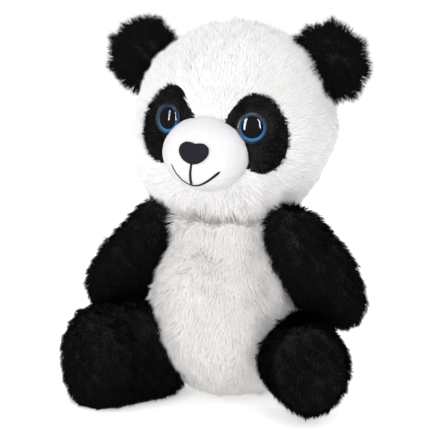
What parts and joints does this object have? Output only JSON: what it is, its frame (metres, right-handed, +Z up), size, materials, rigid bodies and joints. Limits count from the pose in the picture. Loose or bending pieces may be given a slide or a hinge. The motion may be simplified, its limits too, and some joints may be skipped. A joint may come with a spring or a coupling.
{
  "type": "sitting plush panda",
  "caption": "Sitting plush panda sewn from white and black faux-fur panels over stuffing, with round ears, a smooth muzzle, blue plastic eyes and soft limbs that flex at their seams.",
  "frame": {"origin": "middle of the panda's footprint, on the surface it sits on", "axes": "+Z up from the seat to the ears, -Y the way the panda looks, +X towards the panda's left arm"},
  "size_m": [0.218, 0.1626, 0.2723],
  "materials": {
    "white_pile": "white faux-fur pile, about 6 mm, brushed",
    "black_pile": "black faux-fur pile, about 7 mm, matted in clumps",
    "muzzle_velour": "smooth short white velour",
    "nose_felt": "dark blue-black flat felt",
    "mouth_thread": "dark grey embroidery thread",
    "blue_iris": "translucent blue, darker towards the pupil",
    "black_pupil": "gloss black",
    "clear_lens": "clear polished dome",
    "washer_plastic": "natural polypropylene",
    "stuffing": "white polyester fibre filling",
    "pellet_bag_cloth": "plain woven bag of plastic pellets",
    "label_satin": "plain satin ribbon, blank"
  },
  "bodies": {
    "torso": {"back_yoke": "black_pile", "belly_panel": "white_pile", "lower_back_panel": "white_pile", "seat_panel": "white_pile", "body_stuffing": "stuffing", "seat_pellet_bag": "pellet_bag_cloth", "tail": "white_pile", "care_label": "label_satin"},
    "neck": {"neck_stuffing": "stuffing"},
    "head": {"head_stuffing": "stuffing", "muzzle_stuffing": "stuffing", "muzzle_cover": "muzzle_velour", "nose": "nose_felt", "lip_thread": "mouth_thread", "smile_thread": "mouth_thread", "left_face_panel": "white_pile", "left_head_back_panel": "white_pile", "left_eye_patch": "black_pile", "left_eye_back": "blue_iris", "left_pupil": "black_pupil", "left_eye_lens": "clear_lens", "left_eye_washer": "washer_plastic", "right_face_panel": "white_pile", "right_head_back_panel": "white_pile", "right_eye_patch": "black_pile", "right_eye_back": "blue_iris", "right_pupil": "black_pupil", "right_eye_lens": "clear_lens", "right_eye_washer": "washer_plastic"},
    "left_ear": {"left_ear_front": "black_pile", "left_ear_back": "black_pile"},
    "left_arm": {"left_arm_outer_panel": "black_pile", "left_arm_inner_panel": "black_pile", "left_arm_stuffing": "stuffing"},
    "left_leg": {"left_leg_outer_panel": "black_pile", "left_leg_inner_panel": "black_pile", "left_sole": "black_pile", "left_leg_stuffing": "stuffing"},
    "right_ear": {"right_ear_front": "black_pile", "right_ear_back": "black_pile"},
    "right_arm": {"right_arm_outer_panel": "black_pile", "right_arm_inner_panel": "black_pile", "right_arm_stuffing": "stuffing"},
    "right_leg": {"right_leg_outer_panel": "black_pile", "right_leg_inner_panel": "black_pile", "right_sole": "black_pile", "right_leg_stuffing": "stuffing"}
  },
  "joints": [
    {"name": "neck_turn", "type": "hinge", "parent": "torso", "child": "neck", "pos_m": [0, 0.0055, 0.13225], "axis": [0, 0, 1], "range_deg": [-30, 30], "stiffness_Nm_per_rad": 0.5},
    {"name": "neck_nod", "type": "hinge", "parent": "neck", "child": "head", "pos_m": [0, 0.0055, 0.1372], "axis": [1, 0, 0], "range_deg": [-7, 7], "stiffness_Nm_per_rad": 1.5},
    {"name": "left_ear_fold", "type": "hinge", "parent": "head", "child": "left_ear", "pos_m": [0.06018, 0.0255, 0.23822], "axis": [-0.5878, 0, 0.809], "range_deg": [-20, 20], "stiffness_Nm_per_rad": 0.05},
    {"name": "right_ear_fold", "type": "hinge", "parent": "head", "child": "right_ear", "pos_m": [-0.06018, 0.0255, 0.23822], "axis": [0.5878, 0, 0.809], "range_deg": [-20, 20], "stiffness_Nm_per_rad": 0.05},
    {"name": "left_shoulder", "type": "hinge", "parent": "torso", "child": "left_arm", "pos_m": [0.05971, -0.00387, 0.1285], "axis": [0, -1, 0], "range_deg": [0, 60], "stiffness_Nm_per_rad": 0.05},
    {"name": "right_shoulder", "type": "hinge", "parent": "torso", "child": "right_arm", "pos_m": [-0.05971, -0.00387, 0.1285], "axis": [0, 1, 0], "range_deg": [0, 60], "stiffness_Nm_per_rad": 0.05},
    {"name": "left_hip", "type": "hinge", "parent": "torso", "child": "left_leg", "pos_m": [0.05381, -0.01766, 0.07165], "axis": [-0.8572, -0.515, 0], "range_deg": [0, 20], "stiffness_Nm_per_rad": 0.1},
    {"name": "right_hip", "type": "hinge", "parent": "torso", "child": "right_leg", "pos_m": [-0.05448, -0.01808, 0.06365], "axis": [-0.848, 0.5299, 0], "range_deg": [0, 20], "stiffness_Nm_per_rad": 0.1}
  ]
}
